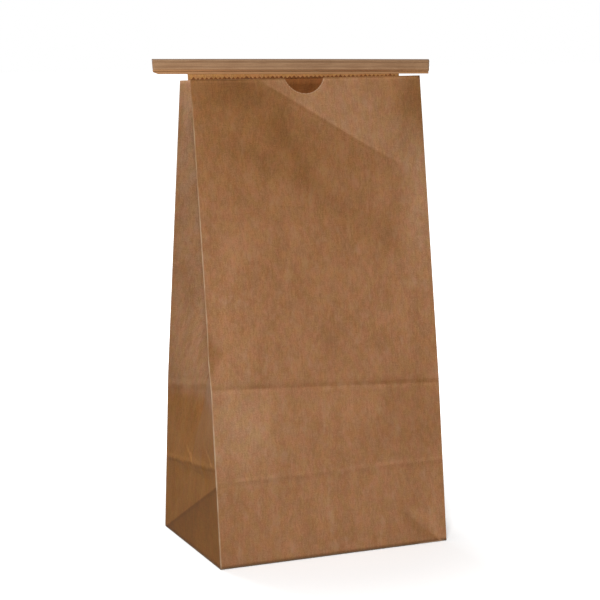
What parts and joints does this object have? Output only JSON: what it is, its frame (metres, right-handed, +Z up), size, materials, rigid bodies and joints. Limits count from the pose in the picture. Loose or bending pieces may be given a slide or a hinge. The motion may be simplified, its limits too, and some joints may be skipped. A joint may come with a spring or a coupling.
{
  "type": "tin tie bag",
  "caption": "Kraft paper bag with side gussets, a flat pasted bottom, a thumb notch, and a wired paper tie glued to a lip on the back panel to roll the top shut.",
  "frame": {"origin": "middle of the bag's footprint on the underside of the bottom flap", "axes": "+Z up, the front panel with the thumb notch faces -Y, +X to the right seen from the front"},
  "size_m": [0.1544, 0.0845, 0.2515],
  "materials": {
    "kraft_paper": "matte",
    "tie_face": "matte",
    "tie_backing": "matte",
    "tie_wire": "plain"
  },
  "bodies": {
    "root": {"paper_bag": "kraft_paper", "tie_front_paper": "tie_face", "tie_back_paper": "tie_backing", "tie_upper_wire": "tie_wire", "tie_lower_wire": "tie_wire"}
  },
  "joints": []
}
